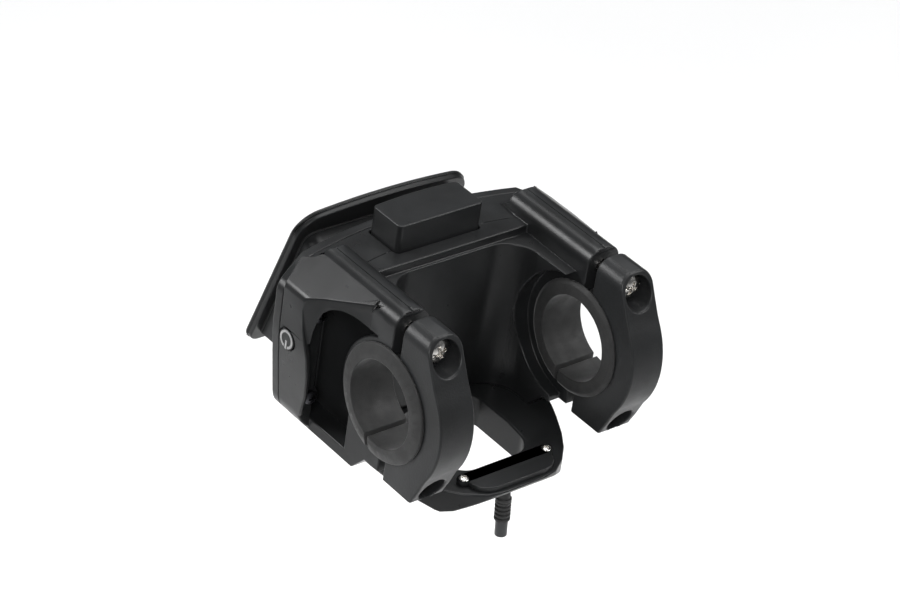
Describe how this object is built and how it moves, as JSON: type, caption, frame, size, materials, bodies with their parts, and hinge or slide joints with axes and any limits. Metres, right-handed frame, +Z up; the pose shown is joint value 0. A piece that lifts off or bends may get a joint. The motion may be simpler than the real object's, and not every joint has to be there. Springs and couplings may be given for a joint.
{
  "type": "cycling computer",
  "caption": "Handlebar-mounted cycling computer: clamp arms around the stem, tilted display head in front, sprung top button, side power button and cable outlet underneath.",
  "frame": {"origin": "on the handlebar's axis, midway between the two clamps", "axes": "+X along the handlebar, towards the end without the power button; +Y forward, towards the display head; +Z up, square to the arms"},
  "size_m": [0.0961, 0.0993, 0.082],
  "materials": {
    "rear_housing": "satin moulded",
    "front_cover": "satin moulded",
    "head_shell": "satin moulded",
    "face_plate": "satin moulded",
    "mode_button": "satin moulded",
    "power_button": "satin moulded",
    "left_clamp_cap": "satin moulded",
    "right_clamp_cap": "satin moulded",
    "cable_tray": "satin moulded",
    "tray_lid": "satin moulded",
    "power_symbol": "smooth",
    "cover_gasket": "matte rubber",
    "head_gasket": "matte rubber",
    "mode_seal": "matte rubber",
    "left_shim": "matte rubber",
    "right_shim": "matte rubber",
    "cable_boot": "matte rubber",
    "inner_lead": "matte rubber",
    "cable_plug": "smooth",
    "plug_contacts": "plain",
    "cover_screws": "black oxide",
    "head_screws": "plain",
    "board_screws": "plain",
    "tray_screws": "plain",
    "lid_screws": "plain",
    "upper_clamp_screws": "nickel plated",
    "lower_clamp_screws": "nickel plated",
    "mode_springs": "plain",
    "clamp_inserts": "plain",
    "display_lens": "clear",
    "lcd_panel": "smooth",
    "backlight_plate": "smooth",
    "display_board": "smooth",
    "main_board": "smooth",
    "display_ribbon": "smooth",
    "board_chips": "satin moulded",
    "board_connector": "satin moulded",
    "buffer_cell": "plain",
    "cell_bracket": "satin moulded",
    "buzzer": "satin moulded",
    "radio_module": "plain",
    "mode_switch": "satin moulded",
    "power_switch": "satin moulded"
  },
  "bodies": {
    "housing": {"rear_housing": "rear_housing", "front_cover": "front_cover", "head_shell": "head_shell", "face_plate": "face_plate", "left_clamp_cap": "left_clamp_cap", "right_clamp_cap": "right_clamp_cap", "cable_tray": "cable_tray", "tray_lid": "tray_lid", "cover_gasket": "cover_gasket", "head_gasket": "head_gasket", "left_shim": "left_shim", "right_shim": "right_shim", "cable_boot": "cable_boot", "inner_lead": "inner_lead", "cable_plug": "cable_plug", "plug_contacts": "plug_contacts", "cover_screws": "cover_screws", "head_screws": "head_screws", "board_screws": "board_screws", "tray_screws": "tray_screws", "lid_screws": "lid_screws", "upper_clamp_screws": "upper_clamp_screws", "lower_clamp_screws": "lower_clamp_screws", "mode_springs": "mode_springs", "clamp_inserts": "clamp_inserts", "display_lens": "display_lens", "lcd_panel": "lcd_panel", "backlight_plate": "backlight_plate", "display_board": "display_board", "main_board": "main_board", "display_ribbon": "display_ribbon", "board_chips": "board_chips", "board_connector": "board_connector", "buffer_cell": "buffer_cell", "cell_bracket": "cell_bracket", "buzzer": "buzzer", "radio_module": "radio_module", "mode_switch": "mode_switch", "power_switch": "power_switch"},
    "top_button": {"mode_button": "mode_button", "mode_seal": "mode_seal"},
    "side_button": {"power_button": "power_button", "power_symbol": "power_symbol"}
  },
  "joints": [
    {"name": "top_button_press", "type": "slide", "parent": "housing", "child": "top_button", "axis": [0, 0, -1], "range_m": [0, 0.0025], "stiffness_N_per_m": 600, "springref_m": -0.001, "deforming": ["mode_springs"]},
    {"name": "power_button_press", "type": "slide", "parent": "housing", "child": "side_button", "axis": [1, 0, 0], "range_m": [0, 0.0008], "stiffness_N_per_m": 800, "springref_m": -0.0005}
  ]
}
